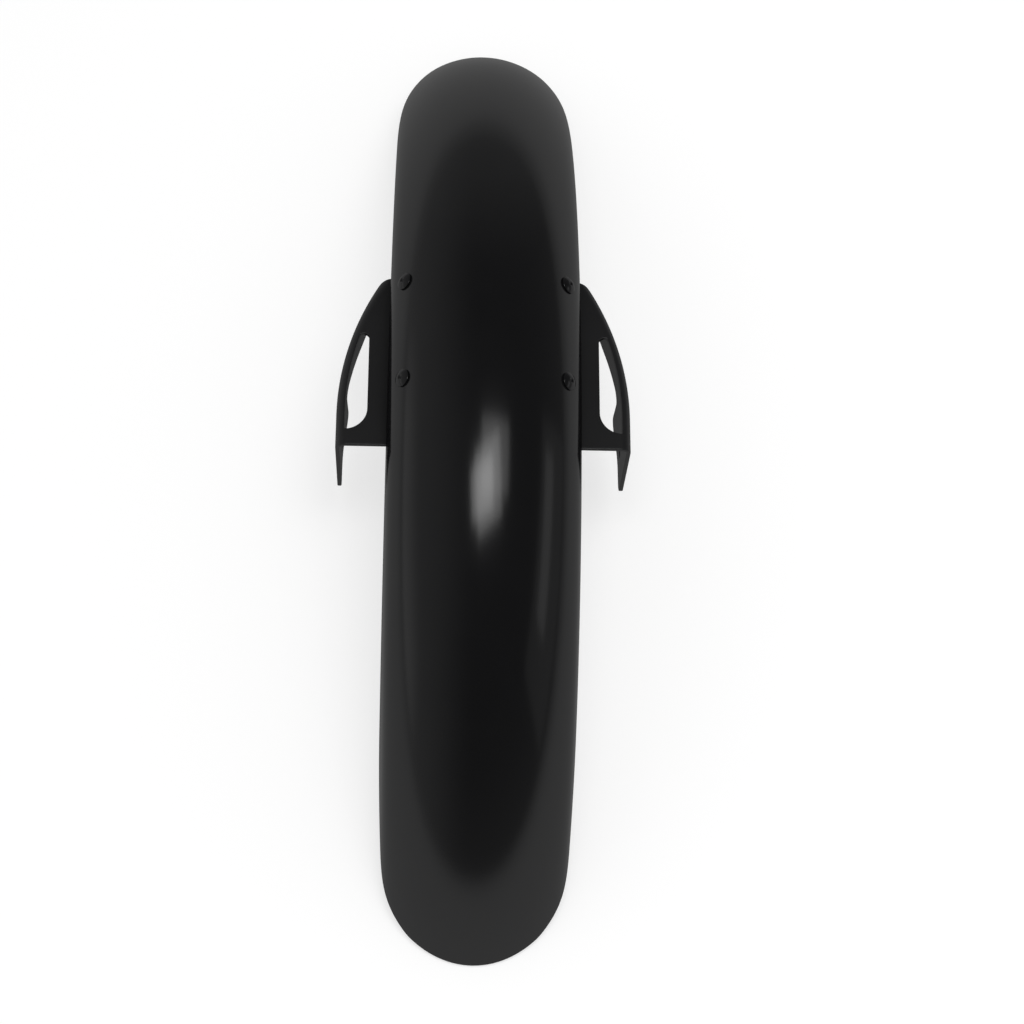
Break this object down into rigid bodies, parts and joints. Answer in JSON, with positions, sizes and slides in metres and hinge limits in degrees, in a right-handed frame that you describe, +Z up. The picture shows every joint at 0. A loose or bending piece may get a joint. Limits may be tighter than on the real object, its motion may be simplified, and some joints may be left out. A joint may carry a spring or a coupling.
{
  "type": "motorcycle front mudguard",
  "caption": "Deep arched sheet-steel mudguard for a front wheel, with a bracket under each skirt that bolts to the inner side of the fork leg.",
  "frame": {"origin": "middle of the guard, level with the tips of its front and rear ends", "axes": "+X forward, +Y to the rider's left, +Z up along the fork line; the wheel axle lies straight below the origin, along Y"},
  "size_m": [0.6238, 0.1784, 0.1924],
  "materials": {
    "black_paint": "satin"
  },
  "bodies": {
    "root": {"shell": "black_paint", "left_bracket": "black_paint", "right_bracket": "black_paint", "rivets": "black_paint"}
  },
  "joints": []
}
